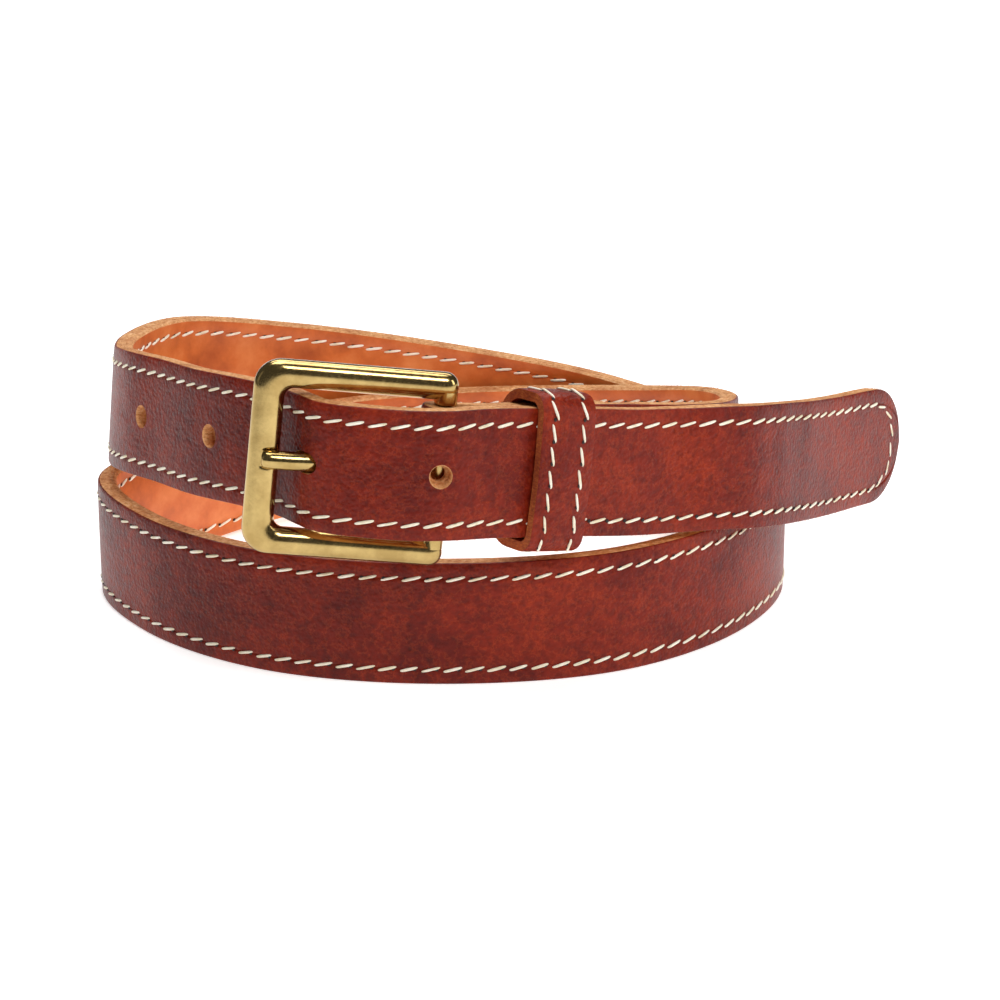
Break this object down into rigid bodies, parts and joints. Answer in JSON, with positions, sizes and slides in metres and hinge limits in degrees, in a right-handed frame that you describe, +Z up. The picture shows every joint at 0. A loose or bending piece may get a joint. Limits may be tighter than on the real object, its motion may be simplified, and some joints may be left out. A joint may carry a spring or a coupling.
{
  "type": "leather belt",
  "caption": "Stitched and lined leather dress belt, coiled and buckled, with a solid brass frame buckle, round prong, sewn keeper and rounded tip.",
  "frame": {"origin": "middle of the belt's footprint on the surface it stands on", "axes": "+Z up from the surface, the buckle faces -Y, the free tip points to +X"},
  "size_m": [0.198, 0.1537, 0.0773],
  "materials": {
    "bridle_leather": "satin",
    "keeper_leather": "satin",
    "lining_leather": "satin",
    "thread": "matte",
    "brass": "polished",
    "prong_brass": "polished"
  },
  "bodies": {
    "belt": {"face_leather": "bridle_leather", "lining": "lining_leather", "face_thread": "thread", "lining_thread": "thread", "keeper": "keeper_leather", "keeper_thread": "thread", "fold_thread": "thread"},
    "tail": {"tail_face": "bridle_leather", "tail_lining": "lining_leather", "tail_thread": "thread"},
    "buckle": {"buckle_frame": "brass"},
    "prong": {"prong": "prong_brass"}
  },
  "joints": [
    {"name": "frame_rock", "type": "hinge", "parent": "belt", "child": "buckle", "pos_m": [-0.0146, -0.0648, 0.0518], "axis": [0.1043, 0.0698, 0.9921], "range_deg": [-1, 0]},
    {"name": "prong_lift", "type": "hinge", "parent": "buckle", "child": "prong", "pos_m": [-0.0146, -0.0648, 0.0518], "axis": [0.1043, 0.0698, 0.9921], "range_deg": [0, 2.5]},
    {"name": "tail_flex", "type": "hinge", "parent": "belt", "child": "tail", "pos_m": [0.01683, -0.05478, 0.04834], "axis": [0.0966, 0.1428, 0.985], "range_deg": [-20, 0], "stiffness_Nm_per_rad": 0.03}
  ]
}
